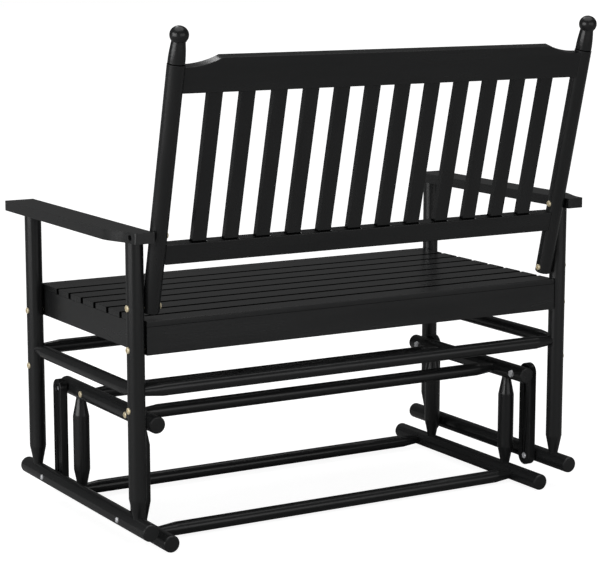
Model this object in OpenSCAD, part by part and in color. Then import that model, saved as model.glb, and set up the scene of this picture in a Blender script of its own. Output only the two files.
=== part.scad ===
// Two-seat glider bench. The seat frame hangs by four swing links from a low base frame,
// so the seat glides forward and back while it stays level.
// X runs across the bench (+X is the sitter's left), Y from front to back, Z up. Millimetres.

/* [Poles and bars] */
// Diameter of the legs, rails, base posts and back posts
pole_d = 35; // [33:1:35]
// Diameter of the turned stretchers
bar_d = 28; // [25:1:30]
// Diameter of the turned tenons
tenon_d = 20; // [17:1:21]
// Depth of a tenon in its socket
tenon_l = 7; // [4:1:8]
// Length of the taper that leads to a tenon
taper_l = 38; // [30:1:44]

/* [Base frame] */
// Distance of the base rails from the middle plane
base_x = 449.5; // [447:0.5:449.5]
// Length of the rails on the floor
floor_rail_l = 554; // [520:1:600]
// Length of the upper rails that carry the links
upper_rail_l = 440; // [430:1:480]
// Height of the upper rails' axis
upper_rail_z = 244.5; // [240:0.5:250]
// Distance of the short posts from the middle, front to back
base_post_y = 145; // [135:1:150]
// Distance of the lower stretchers from the middle, front to back
lower_bar_y = 184; // [178:1:190]
// Distance of the upper stretchers from the middle, front to back
upper_bar_y = 108; // [95:1:115]

/* [Swing links] */
// Distance between a link's two pivots
link_l = 189.5; // [185:0.5:190]
// Distance of the pivots from the middle, front to back
pivot_y = 186; // [182:1:190]
// Width of a link
link_w = 40; // [34:1:42]
// Thickness of a link
link_t = 16; // [14:1:17]

/* [Seat frame] */
// Distance of the legs from the middle plane
leg_x = 507; // [507:1:510]
// Distance of the legs from the middle, front to back
leg_y = 245; // [240:1:250]
// Length of the rails under the legs
glide_rail_l = 606; // [590:1:640]
// Height of the stretchers between the legs
stretcher_z = 323; // [310:1:340]
// Height of the seat surface
seat_z = 462; // [450:1:470]
// Depth of the seat from its front edge to the middle
seat_front = 265; // [260:1:270]
// Depth of the seat from the middle to its rear edge
seat_rear = 258.5; // [255:0.5:262]
// Height of the seat box with its slats
seat_box_h = 67; // [60:1:75]
// Thickness of a seat slat
seat_slat_t = 12; // [10:1:14]
// Gap between seat slats
seat_gap = 9.5; // [3:0.5:12]
// Thickness of the seat's side boards and rear apron
board_t = 22; // [18:1:25]
// Depth of the rounded front rail of the seat
nosing = 44; // [36:1:46]

/* [Arms] */
// Height of the arm tops
arm_z = 640; // [630:1:650]
// Thickness of an arm
arm_t = 21; // [18:1:24]
// Distance of an arm's inner edge from the middle plane
arm_inner = 490.5; // [490.5:0.5:493]
// Width of an arm at its front
arm_w = 63.5; // [55:0.5:75]
// Width of an arm at its rear end
arm_rear_w = 40.5; // [36:0.5:46]
// Reach of an arm in front of the middle
arm_front = 281; // [275:1:300]
// Reach of an arm behind the middle
arm_rear = 300; // [292:1:305]

/* [Back] */
// Lean of the back
rake = 14; // [10:0.5:16]
// Place of a back post's foot behind the middle
post_foot_y = 240.1; // [238:0.1:243]
// Height of a back post's foot
post_foot_z = 476.5; // [475:0.5:480]
// Length of a back post up to its turned top
post_l = 498; // [480:1:520]
// Diameter of the knob on a back post
knob_d = 36.6; // [35:0.2:40]
// Thickness of the crest rail and the lower back rail
back_rail_t = 22; // [18:1:26]
// Lower edge of the lower back rail, along the post
low_rail_s = 100; // [90:1:120]
// Height of the lower back rail
low_rail_h = 41; // [35:1:50]
// Lower edge of the crest rail, along the post
crest_s = 442; // [430:1:450]
// Height of the crest rail in its middle
crest_h = 68; // [60:1:74]
// Drop of the crest rail's shoulders
crest_drop = 17; // [12:1:20]
// Length of each shoulder of the crest rail
crest_scoop = 75; // [60:1:90]
// Width of a back slat
back_slat_w = 30; // [26:1:34]
// Thickness of a back slat
back_slat_t = 14; // [10:1:16]
// Distance from one back slat to the next
back_pitch = 70.1; // [68:0.1:72]

/* [Hidden] */
$fn = 48;
SLATS = 8;
BACK_PAIRS = 6;
LEFT = 1;
RIGHT = -1;
FRONT = -1;
REAR = 1;

paint = "#2b2d2f";
brass = "#c8a24a";
steel = "silver";
nylon = "dimgray";

pole_r = pole_d / 2;
mortise = 10;
mortise_gap = 1.5;
post_chamfer = 2;
rail_round = 3;
glide_rail_z = upper_rail_z - link_l;
leg_foot_z = glide_rail_z + pole_r;
arm_under = arm_z - arm_t;
leg_inner = leg_x - pole_r;
base_outer = base_x + pole_r;
link_mid = (base_outer + leg_inner) / 2;
seat_half = leg_inner - 0.5;
seat_under = seat_z - seat_box_h;
board_top = seat_z - seat_slat_t;
slat_pitch = (seat_front - nosing + seat_rear + seat_gap) / SLATS;

// Pivots: each bush turns on its bolt with a running fit and a little play endwise
running = 0.05;
end_play = 0.3;
pivot_bolt_d = 8;
bush_d = 14;
bush_bore = pivot_bolt_d + 2 * running;
upper_head_d = 13;
lower_head_d = 11;
upper_pocket = 8;
lower_pocket = 3;
pocket_d = 17;
nut_d = 16;
nut_t = 4.7;

// Bolts through the poles. Each head rests on a small flat cut into the round pole
joint_bolt_d = 6;
head_d = 13.5;
cap_d = 13;
head_t = 3.5;
snug = 0.25;
low_bolt_z = stretcher_z - 36;
low_bolt_l = 26;
rail_bolt_l = 63;
board_bolt_l = 60;
board_bolt_z = seat_under + 11.5;
post_bolt_z = post_foot_z + 11.5;
arm_bolt_z = arm_under + arm_t / 2;
arm_bolt_y = post_foot_y + (arm_bolt_z - post_foot_z) * tan(rake);
arm_bolt_pocket = 22;
arm_head_d = 9;
arm_hole_d = 11;

// Turned top of a back post, as heights above its groove. The knob is round below its widest
// place and a little flatter above it
groove = 1.5;
neck_r = 13.5;
knob_h = 54.3;
crown_h = 17;

// The posts stand against the legs. The back rails lap round them
post_x = leg_x - pole_d;
post_inner = post_x - pole_r;
rail_half = post_inner + 6;

// The bench is placed so that the middle of its outline lies over the origin
back_reach = max([for (p = post_outline()) post_foot_y + p[1] * sin(rake) + p[0] * cos(rake)]);
mid_y = (glide_rail_l / 2 - back_reach) / 2;

SIDES = ["left", "right"];
ENDS = ["front", "rear"];
CORNERS = [for (e = ENDS) for (s = SIDES) str(e, "_", s)];

// ---- shared shapes ----

// Moves the bench so that its outline is centred on the origin
module centred() translate([0, mid_y, 0]) children();

// Draws a left-hand piece, or its mirror image on the right
module on_side(side) mirror([side == LEFT ? 0 : 1, 0, 0]) children();

// Turns a shape that runs along Z so that it runs along X, away from the middle plane
module outward() rotate([0, 90, 0]) children();

// A pole along Z from z0 to z1 with a turned taper and tenon at its foot, and one at its top if
// top_taper is true; otherwise the top is a plain shoulder with a tenon
module spindle(z0, z1, d, top_taper) {
    shoulder = top_taper ? taper_l : 0;
    rotate_extrude()
        polygon([
            [0, z0 - tenon_l], [tenon_d / 2, z0 - tenon_l], [tenon_d / 2, z0],
            [d / 2, z0 + taper_l], [d / 2, z1 - shoulder],
            [tenon_d / 2, z1], [tenon_d / 2, z1 + tenon_l], [0, z1 + tenon_l]]);
}

// A round rail along Y, centred, with softly rounded ends
module round_rail(l) {
    rim = pole_r - rail_round;
    corner = [for (a = [0:30:90]) [rim + rail_round * sin(a), rail_round * (1 - cos(a))]];
    rotate([-90, 0, 0])
        rotate_extrude()
            polygon(concat(
                [[0, -l / 2]],
                [for (p = corner) [p[0], p[1] - l / 2]],
                [for (i = [len(corner) - 1:-1:0]) [corner[i][0], l / 2 - corner[i][1]]],
                [[0, l / 2]]));
}

// Socket for a tenon in a pole whose axis passes through the origin, opening along +Z
module socket() translate([0, 0, pole_r - tenon_l]) cylinder(d = tenon_d, h = pole_r);

// Hole for a bolt of diameter d, along X and centred on the origin
module bolt_hole(d, l = 3 * pole_d) outward() cylinder(d = d + 2 * snug, h = l, center = true);

// Depth at which a flat on a pole is just wide enough for a bolt head or nut of diameter d
function flat_depth(d) = pole_r - sqrt(pole_r * pole_r - (d / 2 + snug) * (d / 2 + snug));

// Flat seat for a bolt head on the outer side of a pole whose axis passes through the origin
module head_seat(d) outward() translate([0, 0, pole_r - flat_depth(d)]) cylinder(d = d + 2, h = pole_r);

// Bolt along X with a hexagon socket. Its head rests at the origin and points to +X, its shank
// runs l towards -X
module bolt(l, d, head_d) {
    rim = head_d / 10;
    socket_d = 0.75 * d;
    outward()
        difference() {
            rotate_extrude()
                polygon([
                    [0, -l], [d / 2, -l], [d / 2, 0], [head_d / 2, 0], [head_d / 2, head_t - rim],
                    [head_d / 2 - rim, head_t - 0.3], [head_d / 2 - 2 * rim, head_t], [0, head_t]]);
            translate([0, 0, head_t / 3]) cylinder(d = socket_d, h = head_t, $fn = 6);
        }
}

// Hexagon nut along X, from the origin towards -X
module hex_nut() outward() translate([0, 0, -nut_t]) cylinder(d = nut_d, h = nut_t, $fn = 6);

// ---- base frame ----

module base_floor_rail(side)
    color(paint) on_side(side) translate([base_x, 0, pole_r])
        difference() {
            round_rail(floor_rail_l);
            for (end = [FRONT, REAR]) {
                translate([0, end * base_post_y, 0]) socket();
                translate([0, end * lower_bar_y, 0]) rotate([0, -90, 0]) socket();
            }
        }

module base_upper_rail(side)
    color(paint) on_side(side) translate([base_x, 0, upper_rail_z])
        difference() {
            round_rail(upper_rail_l);
            for (end = [FRONT, REAR]) {
                translate([0, end * base_post_y, 0]) rotate([180, 0, 0]) socket();
                translate([0, end * upper_bar_y, 0]) {
                    rotate([0, -90, 0]) socket();
                    bolt_hole(joint_bolt_d);
                    head_seat(head_d);
                }
                translate([0, end * pivot_y, 0]) {
                    bolt_hole(pivot_bolt_d);
                    mirror([1, 0, 0]) head_seat(nut_d);
                }
            }
        }

module base_post(end, side)
    color(paint) on_side(side) translate([base_x, end * base_post_y, 0])
        spindle(pole_d, upper_rail_z - pole_r, pole_d, true);

// A turned stretcher along X between two poles whose axes are half apart from the middle plane
module cross_bar(half) outward() spindle(pole_r - half, half - pole_r, bar_d, true);

module base_lower_stretcher(end)
    color(paint) translate([0, end * lower_bar_y, pole_r]) cross_bar(base_x);

module base_upper_stretcher(end)
    color(paint) translate([0, end * upper_bar_y, upper_rail_z])
        difference() {
            cross_bar(base_x);
            for (side = [LEFT, RIGHT]) translate([side * base_x, 0, 0]) bolt_hole(joint_bolt_d);
        }

// Bolts through the upper rails into the ends of the upper stretchers
module base_joint_bolts()
    color(brass)
        for (side = [LEFT, RIGHT], end = [FRONT, REAR])
            on_side(side) translate([base_outer - flat_depth(head_d), end * upper_bar_y, upper_rail_z])
                bolt(rail_bolt_l, joint_bolt_d, head_d);

// Head in the link's outer pocket, shank through the upper rail, nut on the rail's inner side
module upper_pivot_bolts() {
    head_x = link_mid + link_t / 2 - upper_pocket + end_play;
    nut_x = base_x - pole_r + flat_depth(nut_d);
    tip = 1;
    color(steel)
        for (side = [LEFT, RIGHT], end = [FRONT, REAR])
            on_side(side) translate([0, end * pivot_y, upper_rail_z]) {
                translate([head_x, 0, 0]) bolt(head_x - nut_x + nut_t + tip, pivot_bolt_d, upper_head_d);
                translate([nut_x, 0, 0]) hex_nut();
            }
}

// ---- swing links ----

// Flat bar with round ends, bored for a bush at each pivot. The upper pocket hides a bolt head
// on the outer side, the lower pocket a cap nut on the inner side
module link(end, side)
    color(paint) on_side(side) translate([link_mid, end * pivot_y, glide_rail_z])
        difference() {
            outward() translate([0, 0, -link_t / 2])
                linear_extrude(link_t) {
                    circle(d = link_w);
                    translate([-link_l, 0]) circle(d = link_w);
                    translate([-link_l, -link_w / 2]) square([link_l, link_w]);
                }
            for (z = [0, link_l])
                translate([0, 0, z]) outward() cylinder(d = bush_d, h = 2 * link_t, center = true);
            translate([link_t / 2 - upper_pocket, 0, link_l]) outward() cylinder(d = pocket_d, h = link_t);
            translate([lower_pocket - link_t / 2, 0, 0]) rotate([0, -90, 0]) cylinder(d = pocket_d, h = link_t);
        }

// A bush from x0 to x1 at one pivot
module bush(x0, x1)
    translate([x0, 0, 0]) outward()
        difference() {
            cylinder(d = bush_d, h = x1 - x0);
            translate([0, 0, -1]) cylinder(d = bush_bore, h = x1 - x0 + 2);
        }

// Each bush stands out of the link as far as the pole beside it
module link_bushes(end, side)
    color(nylon) on_side(side) translate([0, end * pivot_y, 0]) {
        translate([0, 0, upper_rail_z])
            bush(base_outer + end_play, link_mid + link_t / 2 - upper_pocket);
        translate([0, 0, glide_rail_z])
            bush(link_mid - link_t / 2 + lower_pocket, leg_inner - end_play);
    }

// ---- seat frame ----

module glide_rail(side)
    color(paint) on_side(side) translate([leg_x, 0, glide_rail_z])
        difference() {
            round_rail(glide_rail_l);
            for (end = [FRONT, REAR]) {
                translate([0, end * leg_y, 0]) socket();
                translate([0, end * pivot_y, 0]) {
                    bolt_hole(pivot_bolt_d);
                    head_seat(lower_head_d);
                }
            }
        }

// Head on the glide rail's outer side, shank through the rail and bush, cap nut in the link's pocket
module lower_pivot_bolts() {
    head_x = leg_x + pole_r - flat_depth(lower_head_d);
    cap_x = link_mid - link_t / 2 + lower_pocket - end_play;
    color(steel)
        for (side = [LEFT, RIGHT], end = [FRONT, REAR])
            on_side(side) translate([0, end * pivot_y, glide_rail_z]) {
                translate([head_x, 0, 0]) bolt(head_x - cap_x, pivot_bolt_d, lower_head_d);
                translate([cap_x, 0, 0]) mirror([1, 0, 0]) bolt(1, pivot_bolt_d, cap_d);
            }
}

module leg(end, side) {
    through = end == REAR ? [board_bolt_z, post_bolt_z] : [board_bolt_z];
    color(paint) on_side(side) translate([leg_x, end * leg_y, 0])
        difference() {
            spindle(leg_foot_z, arm_under, pole_d, false);
            translate([0, 0, stretcher_z]) {
                rotate([0, -90, 0]) socket();
                rotate([end * 90, 0, 0]) socket();
            }
            for (z = through)
                translate([0, 0, z]) {
                    bolt_hole(joint_bolt_d);
                    head_seat(head_d);
                }
            translate([0, 0, low_bolt_z]) {
                translate([pole_r, 0, 0]) bolt_hole(joint_bolt_d, 2 * low_bolt_l);
                head_seat(head_d);
            }
        }
}

module side_stretcher(side)
    color(paint) on_side(side) translate([leg_x, 0, stretcher_z])
        rotate([-90, 0, 0]) spindle(pole_r - leg_y, leg_y - pole_r, bar_d, true);

module seat_stretcher(end)
    color(paint) translate([0, end * leg_y, stretcher_z]) cross_bar(leg_x);

// Bolt from head_x through a back post, with a threaded cap on the post's inner side
module post_bolt(head_x, head_d) {
    cap_x = post_inner + flat_depth(cap_d);
    translate([head_x, 0, 0]) bolt(head_x - cap_x, joint_bolt_d, head_d);
    translate([cap_x, 0, 0]) mirror([1, 0, 0]) bolt(1, joint_bolt_d, cap_d);
}

// In every leg a bolt into the end of the seat's front rail or rear apron and a short bolt below
// the stretchers, and in the rear legs a bolt through the back post
module leg_bolts() {
    head_x = leg_x + pole_r - flat_depth(head_d);
    color(brass)
        for (side = [LEFT, RIGHT])
            on_side(side) {
                for (end = [FRONT, REAR])
                    translate([head_x, end * leg_y, 0]) {
                        translate([0, 0, low_bolt_z]) bolt(low_bolt_l - flat_depth(head_d), joint_bolt_d, head_d);
                        translate([0, 0, board_bolt_z]) bolt(board_bolt_l, joint_bolt_d, head_d);
                    }
                translate([0, leg_y, post_bolt_z]) post_bolt(head_x, head_d);
            }
}

// ---- seat ----

module seat_side_board(side) {
    front_y = nosing - seat_front;
    rear_y = seat_rear - board_t;
    color(paint) on_side(side)
        translate([seat_half - board_t, front_y, seat_under])
            cube([board_t, rear_y - front_y, board_top - seat_under]);
}

// Rounded nosing across the whole front of the seat, flush with the slats
module seat_front_rail() {
    nose = 14;
    color(paint)
        difference() {
            translate([-seat_half, 0, 0]) rotate([90, 0, 90])
                linear_extrude(2 * seat_half) {
                    translate([nose - seat_front, seat_under]) square([nosing - nose, seat_box_h]);
                    translate([-seat_front, seat_under]) square([nose, seat_box_h - nose]);
                    translate([nose - seat_front, seat_z - nose]) circle(r = nose);
                }
            for (side = [LEFT, RIGHT])
                translate([side * seat_half, -leg_y, board_bolt_z]) bolt_hole(joint_bolt_d);
        }
}

module seat_rear_apron()
    color(paint)
        difference() {
            translate([-seat_half, seat_rear - board_t, seat_under])
                cube([2 * seat_half, board_t, board_top - seat_under]);
            for (side = [LEFT, RIGHT])
                translate([side * seat_half, leg_y, board_bolt_z]) bolt_hole(joint_bolt_d);
        }

// Bearer under the middle of the slats
module seat_centre_bearer() {
    front_y = nosing - seat_front;
    drop = 40;
    color(paint)
        translate([-board_t / 2, front_y, board_top - drop])
            cube([board_t, seat_rear - board_t - front_y, drop]);
}

module seat_slat(i)
    color(paint)
        translate([-seat_half, nosing - seat_front + (i - 1) * slat_pitch, board_top])
            cube([2 * seat_half, slat_pitch - seat_gap, seat_slat_t]);

// ---- arms ----

// Outer edge of the left arm where it is drawn in towards its rear end, for t from 0 to 1
function arm_edge(t) = arm_inner + arm_w - (arm_w - arm_rear_w) * t * t * (3 - 2 * t);

module arm(side) {
    bend_from = 200;
    bend_to = arm_rear - 12;
    rear_x = arm_inner + arm_rear_w;
    round_r = 7;
    bend = [for (t = [0:1 / 12:1]) [arm_edge(t), bend_from + t * (bend_to - bend_from)]];
    corner = [for (a = [0:30:90])
        [rear_x - round_r * (1 - cos(a)), arm_rear - round_r * (1 - sin(a))]];
    color(paint) on_side(side)
        difference() {
            translate([0, 0, arm_under])
                linear_extrude(arm_t)
                    polygon(concat(
                        [[arm_inner, arm_rear], [arm_inner, -arm_front], [arm_inner + arm_w, -arm_front]],
                        bend, corner));
            for (end = [FRONT, REAR])
                translate([leg_x, end * leg_y, arm_under - 1]) cylinder(d = tenon_d, h = tenon_l + 1);
            translate([rear_x - arm_bolt_pocket, arm_bolt_y, arm_bolt_z]) {
                bolt_hole(joint_bolt_d);
                outward() cylinder(d = arm_hole_d, h = pole_d);
            }
        }
}

// Bolts sunk into the arms' outer edges that hold the arms to the back posts
module arm_bolts()
    color(brass)
        for (side = [LEFT, RIGHT])
            on_side(side) translate([0, arm_bolt_y, arm_bolt_z])
                post_bolt(arm_inner + arm_rear_w - arm_bolt_pocket, arm_head_d);

// ---- back ----

// The back's own frame: Z runs up the leaning posts from their feet, Y points out of the back
module raked() translate([0, post_foot_y, post_foot_z]) rotate([-rake, 0, 0]) children();

// Radius against height of a back post: plain shaft, groove, slim neck and knob
function post_outline() =
    let (knob_r = knob_d / 2, collar_r = pole_r - groove / 2, knob_s = post_l + knob_h)
    let (under = acos(neck_r / knob_r), neck_h = knob_h - knob_r * sin(under))
    concat(
        [[0, 0], [pole_r - post_chamfer, 0], [pole_r, post_chamfer]],
        [[pole_r, post_l - groove], [pole_r - groove, post_l]],
        [for (t = [0:0.2:1])
            [neck_r + (collar_r - neck_r) * cos(90 * t), post_l + groove + t * (neck_h - groove)]],
        [for (t = [0.75:-0.25:0]) [knob_r * cos(t * under), knob_s - knob_r * sin(t * under)]],
        [for (a = [12:12:84]) [knob_r * cos(a), knob_s + crown_h * sin(a)]],
        [[0, knob_s + crown_h]]);

module back_post(side)
    color(paint) on_side(side)
        difference() {
            raked() translate([post_x, 0, 0]) rotate_extrude() polygon(post_outline());
            for (hole = [[leg_y, post_bolt_z], [arm_bolt_y, arm_bolt_z]])
                translate([post_x, hole[0], hole[1]]) {
                    bolt_hole(joint_bolt_d);
                    mirror([1, 0, 0]) head_seat(cap_d);
                }
        }

// A back rail's outline, cut to fit round the posts and mortised for the slats at height slot_s,
// with a gap round each slat
module back_rail(slot_s, gap)
    difference() {
        rotate([90, 0, 0]) linear_extrude(back_rail_t, center = true) children();
        for (side = [LEFT, RIGHT])
            translate([side * post_x, 0, 0]) cylinder(d = pole_d, h = 2 * post_l);
        for (i = [1:2 * BACK_PAIRS])
            translate([slat_x(i) - back_slat_w / 2 - gap, -back_slat_t / 2 - gap, slot_s])
                cube([back_slat_w + 2 * gap, back_slat_t + 2 * gap, mortise]);
    }

module crest_rail() {
    shoulder_s = crest_s + crest_h - crest_drop;
    scoop_r = (crest_scoop * crest_scoop + crest_drop * crest_drop) / (2 * crest_drop);
    color(paint) raked()
        back_rail(crest_s, 0)
            difference() {
                translate([-rail_half, crest_s]) square([2 * rail_half, crest_h]);
                for (side = [LEFT, RIGHT])
                    translate([side * post_inner, shoulder_s + scoop_r]) circle(r = scoop_r, $fn = 180);
            }
}

module lower_back_rail() {
    color(paint) raked()
        back_rail(low_rail_s + low_rail_h - mortise, mortise_gap)
            translate([-rail_half, low_rail_s]) square([2 * rail_half, low_rail_h]);
}

function slat_x(i) = (i - BACK_PAIRS - 0.5) * back_pitch;

module back_slat_pair(pair) {
    foot_s = low_rail_s + low_rail_h - mortise;
    color(paint) raked()
        for (i = [2 * pair - 1, 2 * pair])
            translate([slat_x(i) - back_slat_w / 2, -back_slat_t / 2, foot_s])
                cube([back_slat_w, back_slat_t, crest_s + mortise - foot_s]);
}

// ---- assembly ----

for (side = [LEFT, RIGHT]) {
    s = side == LEFT ? "left" : "right";
    centred() base_floor_rail(side);
    centred() base_upper_rail(side);
    centred() glide_rail(side);
    centred() side_stretcher(side);
    centred() seat_side_board(side);
    centred() arm(side);
    centred() back_post(side);
}
for (end = [FRONT, REAR]) {
    e = end == FRONT ? "front" : "rear";
    centred() base_lower_stretcher(end);
    centred() base_upper_stretcher(end);
    centred() seat_stretcher(end);
}
for (end = [FRONT, REAR], side = [LEFT, RIGHT]) {
    c = str(end == FRONT ? "front" : "rear", "_", side == LEFT ? "left" : "right");
    centred() base_post(end, side);
    centred() link(end, side);
    centred() link_bushes(end, side);
    centred() leg(end, side);
}
for (i = [1:SLATS])
    centred() seat_slat(i);
for (i = [1:BACK_PAIRS])
    centred() back_slat_pair(i);
centred() base_joint_bolts();
centred() upper_pivot_bolts();
centred() seat_front_rail();
centred() seat_rear_apron();
centred() seat_centre_bearer();
centred() crest_rail();
centred() lower_back_rail();
centred() lower_pivot_bolts();
centred() leg_bolts();
centred() arm_bolts();
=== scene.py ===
import math

import bpy
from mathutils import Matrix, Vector


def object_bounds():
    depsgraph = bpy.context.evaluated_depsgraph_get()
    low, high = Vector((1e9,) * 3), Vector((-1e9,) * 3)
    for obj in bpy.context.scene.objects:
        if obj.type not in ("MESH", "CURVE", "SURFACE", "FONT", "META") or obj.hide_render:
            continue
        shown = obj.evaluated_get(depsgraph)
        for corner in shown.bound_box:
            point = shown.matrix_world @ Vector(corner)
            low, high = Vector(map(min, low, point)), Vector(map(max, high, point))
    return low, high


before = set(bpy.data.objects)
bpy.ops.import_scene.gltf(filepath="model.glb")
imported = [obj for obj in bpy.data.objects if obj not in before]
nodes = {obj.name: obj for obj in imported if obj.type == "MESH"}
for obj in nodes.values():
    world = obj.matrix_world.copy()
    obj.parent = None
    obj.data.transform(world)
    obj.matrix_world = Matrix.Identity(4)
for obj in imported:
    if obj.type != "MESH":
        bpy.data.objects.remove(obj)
start_lo, start_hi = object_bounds()
scene = bpy.context.scene

# ---------------------------------------------------------------- measures, in metres

# The lean of the back, and where its posts start: Y and Z
RAKE = math.radians(14)
BACK_FOOT = (0.1956, 0.4765)

# Painted shade lines across the back, near-black and matt, where the slats meet the lower rail and in the
# post groove: how far each is from the foot along the lean, and half its width
SLAT_FOOT_SHADE_LINE = (0.1423, 0.0015)
POST_GROOVE_SHADE_LINE = (0.4980, 0.0011)

# Softened edges: width, segments, and the angle in degrees past which an edge counts as sharp
BUSH_EDGE = (0.0003, 1, 40)
METAL_EDGE = (0.0002, 1, 40)
SEAT_SLAT_EDGE = (0.0013, 3, 40)
BACK_SLAT_EDGE = (0.0008, 3, 40)
BOARD_EDGE = (0.0018, 3, 35)
OTHER_EDGE = (0.0010, 2, 25)
WELD_DISTANCE = 0.00001

# How far a seat slat's face must turn to the front or rear to take the painted shade of the gaps, and how
# metallic plating is
STEEP = 0.35
PLATING = 0.3

FLOOR_SIZE = 60
FLOOR_DROP = 0.0005

# Area lights: name, place, the point aimed at, width and height, and power in watts
AREA_LIGHTS = [
    ("panel at the rear", (-1.0, 6.0, 1.5), (0, 0, 0.5), (7.0, 3.0), 66),
    ("panel at the left", (6.0, 0.7, 1.5), (0, 0, 0.5), (5.6, 3.0), 185),
    ("small high light", (-0.2, -2.9, 4.7), (0, 0.3, 0.9), (1.1, 1.1), 20),
]
CEILING_STRENGTH = 1.4
CEILING_SPREAD = math.radians(75)

CAMERA_PLACE = (2.1564, 3.6263, 1.1838)
CAMERA_TURN = math.radians(180 - 30.476)
CAMERA_PITCH = math.radians(9.878)
LENS_MM = 120.64
SENSOR_MM = 36.0


# ---------------------------------------------------------------- shader helpers

def socket(node, *names):
    """The first input of the node that has one of these names."""
    for name in names:
        if name in node.inputs:
            return node.inputs[name]
    raise KeyError(names)


def new_material(name):
    mat = bpy.data.materials.new(name)
    mat.use_nodes = True
    tree = mat.node_tree
    return mat, tree, tree.nodes["Principled BSDF"]


def grey(v):
    return (v, v, v)


def object_coords(tree):
    return tree.nodes.new("ShaderNodeTexCoord").outputs["Object"]


def stretched(across, lengthways, axis):
    """Texture scales that are the same all round, apart from the one along the axis."""
    scales = [across, across, across]
    scales[axis] = lengthways
    return scales


def noise(tree, coords, scales, detail):
    """The strength of a noise texture that has its own scale along each axis."""
    mapping = tree.nodes.new("ShaderNodeMapping")
    mapping.inputs["Scale"].default_value = scales
    tree.links.new(coords, mapping.inputs["Vector"])
    tex = tree.nodes.new("ShaderNodeTexNoise")
    tex.inputs["Scale"].default_value = 1.0
    tex.inputs["Detail"].default_value = detail
    tree.links.new(mapping.outputs["Vector"], tex.inputs["Vector"])
    return tex.outputs["Fac"]


def ramp(tree, value, stops):
    """A colour for the value, from two or more pairs of a position and a colour."""
    node = tree.nodes.new("ShaderNodeValToRGB")
    elements = node.color_ramp.elements
    for element, (position, colour) in zip(elements, (stops[0], stops[-1])):
        element.position = position
        element.color = (*colour, 1)
    for position, colour in stops[1:-1]:
        elements.new(position).color = (*colour, 1)
    tree.links.new(value, node.inputs["Fac"])
    return node.outputs["Color"]


def mapped(tree, value, low, high):
    node = tree.nodes.new("ShaderNodeMapRange")
    node.inputs["To Min"].default_value = low
    node.inputs["To Max"].default_value = high
    tree.links.new(value, node.inputs["Value"])
    return node.outputs["Result"]


def math_node(tree, operation, first, *others):
    node = tree.nodes.new("ShaderNodeMath")
    node.operation = operation
    tree.links.new(first, node.inputs[0])
    for i, value in enumerate(others):
        node.inputs[i + 1].default_value = value
    return node.outputs["Value"]


def bump(tree, height, strength, distance, under=None):
    """The normal of a bumpy surface, on top of another bumpy one where that is given."""
    node = tree.nodes.new("ShaderNodeBump")
    node.inputs["Strength"].default_value = strength
    node.inputs["Distance"].default_value = distance
    tree.links.new(height, node.inputs["Height"])
    if under is not None:
        tree.links.new(under, node.inputs["Normal"])
    return node.outputs["Normal"]


def show_either(tree, factor, at_zero, at_one, output):
    """Sends the first shader to the output where factor is 0, and the second where it is 1."""
    pick = tree.nodes.new("ShaderNodeMixShader")
    tree.links.new(factor, pick.inputs[0])
    tree.links.new(at_zero, pick.inputs[1])
    tree.links.new(at_one, pick.inputs[2])
    tree.links.new(pick.outputs["Shader"], tree.nodes[output].inputs["Surface"])


def camera_ray(tree):
    return tree.nodes.new("ShaderNodeLightPath").outputs["Is Camera Ray"]


# ---------------------------------------------------------------- materials

def black_wood(name, along, tone):
    """Satin black paint over smooth wood: the grain runs along the axis numbered along."""
    mat, tree, bsdf = new_material(name)
    coords = object_coords(tree)
    grain = noise(tree, coords, stretched(520.0, 14.0, along), 3.0)
    cloud = noise(tree, coords, stretched(26.0, 3.0, along), 4.0)
    peel = noise(tree, coords, (900.0, 900.0, 900.0), 2.0)
    shades = [(0.25, (0.0122, 0.0127, 0.0130)),
              (0.55, (0.0158, 0.0163, 0.0167)),
              (0.80, (0.0194, 0.0200, 0.0204))]
    toned = [(position, [channel * tone for channel in shade]) for position, shade in shades]
    tree.links.new(ramp(tree, cloud, toned), bsdf.inputs["Base Color"])
    tree.links.new(mapped(tree, cloud, 0.20, 0.32), bsdf.inputs["Roughness"])
    socket(bsdf, "Specular IOR Level").default_value = 0.45
    socket(bsdf, "Coat Weight").default_value = 0.05
    socket(bsdf, "Coat Roughness").default_value = 0.28
    grained = bump(tree, grain, 0.16, 0.0006)
    tree.links.new(bump(tree, peel, 0.06, 0.0003, grained), bsdf.inputs["Normal"])
    return mat


def with_painted_shade(mat, factor):
    """Where factor is 1 the surface takes painted shade: near-black, matt paint that stands in for the
    shade inside narrow joints.
    """
    tree = mat.node_tree
    # Painted shade: a near-black, barely shiny paint put where joints and gaps lie in shade
    painted_shade = tree.nodes.new("ShaderNodeBsdfPrincipled")
    painted_shade.inputs["Base Color"].default_value = (0.0012, 0.0012, 0.0013, 1)
    painted_shade.inputs["Roughness"].default_value = 0.9
    socket(painted_shade, "Specular IOR Level").default_value = 0.03
    satin = tree.nodes["Principled BSDF"]
    show_either(tree, factor, satin.outputs["BSDF"], painted_shade.outputs["BSDF"], "Material Output")
    return mat


def wood_with_gap_shade(name, along, tone):
    """Black wood whose faces to the front and rear take painted shade, near-black and matt: the walls of
    the gaps between slats.
    """
    mat = black_wood(name, along, tone)
    tree = mat.node_tree
    normal = tree.nodes.new("ShaderNodeSeparateXYZ")
    coords = tree.nodes.new("ShaderNodeTexCoord")
    tree.links.new(coords.outputs["Normal"], normal.inputs["Vector"])
    steep = math_node(tree, "ABSOLUTE", normal.outputs["Y"])
    # Painted shade on every face turned to the front or rear: the walls of the gaps between the seat slats
    return with_painted_shade(mat, math_node(tree, "GREATER_THAN", steep, STEEP))


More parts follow.
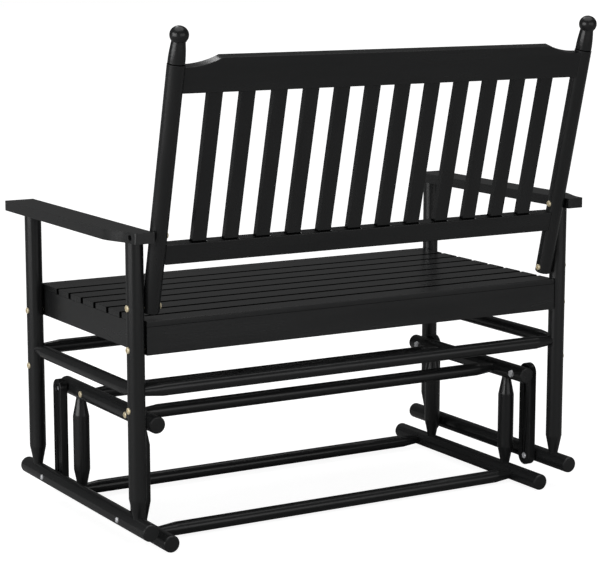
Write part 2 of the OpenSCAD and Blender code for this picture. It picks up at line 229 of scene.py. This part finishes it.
def wood_with_shade_line(name, tone, line):
    """Upright black wood with a painted shade line across it, near-black and matt, at one place along the
    leaning back.
    """
    mat = black_wood(name, 2, tone)
    tree = mat.node_tree
    along = tree.nodes.new("ShaderNodeVectorMath")
    along.operation = "DOT_PRODUCT"
    tree.links.new(object_coords(tree), along.inputs[0])
    along.inputs[1].default_value = (0, math.sin(RAKE), math.cos(RAKE))
    foot = BACK_FOOT[0] * math.sin(RAKE) + BACK_FOOT[1] * math.cos(RAKE)
    centre, half_width = line
    # Painted shade in a thin band across the back: at the foot of the slats on the lower rail, or in the
    # groove of each post
    near = math_node(tree, "COMPARE", along.outputs["Value"], foot + centre, half_width)
    return with_painted_shade(mat, near)


def metal(name, dark, light, rough_low, rough_high):
    """Plated steel with a little mottling and fine turning marks."""
    mat, tree, bsdf = new_material(name)
    coords = object_coords(tree)
    mottle = noise(tree, coords, (340.0, 340.0, 340.0), 5.0)
    marks = noise(tree, coords, (60.0, 2600.0, 2600.0), 2.0)
    tree.links.new(ramp(tree, mottle, [(0.30, dark), (0.70, light)]), bsdf.inputs["Base Color"])
    tree.links.new(mapped(tree, mottle, rough_low, rough_high), bsdf.inputs["Roughness"])
    bsdf.inputs["Metallic"].default_value = PLATING
    tree.links.new(bump(tree, marks, 0.10, 0.0002), bsdf.inputs["Normal"])
    return mat


def nylon(name):
    mat, tree, bsdf = new_material(name)
    mottle = noise(tree, object_coords(tree), (200.0, 200.0, 200.0), 4.0)
    shades = [(0.3, grey(0.055)), (0.7, grey(0.085))]
    tree.links.new(ramp(tree, mottle, shades), bsdf.inputs["Base Color"])
    tree.links.new(mapped(tree, mottle, 0.48, 0.62), bsdf.inputs["Roughness"])
    tree.links.new(bump(tree, mottle, 0.10, 0.0002), bsdf.inputs["Normal"])
    return mat


wood_x = black_wood("black wood, grain across", 0, 1.0)
wood_y = black_wood("black wood, grain front to back", 1, 1.05)
wood_z = black_wood("black wood, grain upright", 2, 0.96)
seat_slat_gap_shade_wood = wood_with_gap_shade("black wood, seat slats, painted shade in the gaps", 0, 1.0)
back_slat_line_shade_wood = wood_with_shade_line("black wood, back slats, painted shade line at the foot", 0.96, SLAT_FOOT_SHADE_LINE)
post_groove_shade_wood = wood_with_shade_line("black wood, back posts, painted shade in the groove", 0.96, POST_GROOVE_SHADE_LINE)
brass = metal("yellow plated bolt", (0.78, 0.64, 0.38), (0.98, 0.90, 0.68), 0.34, 0.50)
steel = metal("zinc plated bolt", (0.70, 0.71, 0.73), (0.92, 0.93, 0.95), 0.28, 0.42)
bush = nylon("dark nylon bush")


# ---------------------------------------------------------------- CAD nodes

# The first row with a word that is in the node's name gives its material
BY_WORD = [
    (("joint_bolts", "leg_bolts", "arm_bolts"), brass),
    (("pivot_bolts",), steel),
    (("bushes",), bush),
    (("slat_pair",), back_slat_line_shade_wood),
    (("back_post",), post_groove_shade_wood),
    # The rear slat's face to the rear stands in the open, so it takes no painted gap shade
    (("seat_slat_8",), wood_x),
    (("seat_slat",), seat_slat_gap_shade_wood),
    (("leg_", "base_post", "link_"), wood_z),
    (("floor_rail", "upper_rail", "glide_rail", "side_stretcher", "side_board", "arm_", "bearer"), wood_y),
]
BOARDS = ("arm_", "crest", "lower_back", "apron", "front_rail", "board")


def finish_of(name):
    for words, mat in BY_WORD:
        if any(w in name for w in words):
            return mat
    return wood_x


def edge_of(name, mat):
    if mat is bush:
        return BUSH_EDGE
    if mat in (brass, steel):
        return METAL_EDGE
    if "seat_slat" in name:
        return SEAT_SLAT_EDGE
    if "slat_pair" in name:
        return BACK_SLAT_EDGE
    if any(w in name for w in BOARDS):
        return BOARD_EDGE
    return OTHER_EDGE


def soften(obj, width, segments, angle):
    """Rounds the sharp edges of a CAD node without touching its mesh."""
    weld = obj.modifiers.new("weld", "WELD")
    weld.merge_threshold = WELD_DISTANCE
    bevel = obj.modifiers.new("soft edges", "BEVEL")
    bevel.width = width
    bevel.segments = segments
    bevel.limit_method = "ANGLE"
    bevel.angle_limit = math.radians(angle)
    bevel.use_clamp_overlap = True
    normals = obj.modifiers.new("flat faces", "WEIGHTED_NORMAL")
    normals.weight = 100
    normals.keep_sharp = True


for name, obj in nodes.items():
    mat = finish_of(name)
    obj.data.materials.clear()
    obj.data.materials.append(mat)
    obj.data.polygons.foreach_set("use_smooth", [True] * len(obj.data.polygons))
    soften(obj, *edge_of(name, mat))


# ---------------------------------------------------------------- surroundings

def pale_floor():
    """White to the camera, and a dimmer grey to everything else, so that little light comes up."""
    mat, tree, bsdf = new_material("pale floor")
    patches = noise(tree, object_coords(tree), (3.0, 3.0, 3.0), 2.0)
    shades = [(0.3, grey(0.34)), (0.7, grey(0.36))]
    tree.links.new(ramp(tree, patches, shades), bsdf.inputs["Base Color"])
    bsdf.inputs["Roughness"].default_value = 0.9
    bsdf.inputs["Emission Color"].default_value = (1, 1, 1, 1)
    bsdf.inputs["Emission Strength"].default_value = 0.92
    socket(bsdf, "Specular IOR Level").default_value = 0.1
    dim = tree.nodes.new("ShaderNodeBsdfDiffuse")
    dim.inputs["Color"].default_value = (*grey(0.30), 1)
    show_either(tree, camera_ray(tree), dim.outputs["BSDF"], bsdf.outputs["BSDF"], "Material Output")
    return mat


def studio_world():
    """White to the camera. What lights the bench is a dim room, with a faint band above the horizon
    and a brighter ceiling."""
    world = bpy.data.worlds.new("studio")
    world.use_nodes = True
    tree = world.node_tree
    white = tree.nodes["Background"]
    white.inputs["Color"].default_value = (1, 1, 1, 1)
    white.inputs["Strength"].default_value = 1.0
    direction = tree.nodes.new("ShaderNodeTexCoord").outputs["Generated"]
    height = tree.nodes.new("ShaderNodeSeparateXYZ")
    tree.links.new(direction, height.inputs["Vector"])
    shades = [(0.0, grey(0.055)), (0.22, grey(0.085)), (0.45, grey(0.055)), (1.0, grey(0.15))]
    room = tree.nodes.new("ShaderNodeBackground")
    tree.links.new(ramp(tree, height.outputs["Z"], shades), room.inputs["Color"])
    show_either(tree, camera_ray(tree), room.outputs["Background"], white.outputs["Background"],
                "World Output")
    return world


def point_at(obj, direction):
    obj.rotation_mode = "QUATERNION"
    obj.rotation_quaternion = direction.to_track_quat("-Z", "Y")


def area_light(name, place, aim, size, power):
    data = bpy.data.lights.new(name, "AREA")
    data.shape = "RECTANGLE"
    data.size, data.size_y = size
    data.energy = power
    light = bpy.data.objects.new(name, data)
    scene.collection.objects.link(light)
    light.location = place
    point_at(light, Vector(aim) - Vector(place))


def ceiling_light():
    """A wide soft light from straight above, even over the whole floor."""
    data = bpy.data.lights.new("ceiling", "SUN")
    data.energy = CEILING_STRENGTH
    data.angle = CEILING_SPREAD
    scene.collection.objects.link(bpy.data.objects.new("ceiling", data))


def add_camera():
    data = bpy.data.cameras.new("camera")
    data.sensor_width = SENSOR_MM
    data.lens = LENS_MM
    data.clip_start, data.clip_end = 0.1, 100.0
    camera = bpy.data.objects.new("camera", data)
    scene.collection.objects.link(camera)
    camera.location = CAMERA_PLACE
    level = math.cos(CAMERA_PITCH)
    point_at(camera, Vector((-math.sin(CAMERA_TURN) * level, math.cos(CAMERA_TURN) * level,
                             -math.sin(CAMERA_PITCH))))
    scene.camera = camera


bpy.ops.mesh.primitive_plane_add(size=FLOOR_SIZE, location=(0, 0, start_lo.z - FLOOR_DROP))
floor = bpy.context.object
floor.name = "floor"
floor.data.materials.append(pale_floor())

scene.world = studio_world()
scene.view_settings.view_transform = "Standard"

# The panels draw soft bands along the poles, and the small light gives the knobs their shine
ceiling_light()
for light_values in AREA_LIGHTS:
    area_light(*light_values)
add_camera()
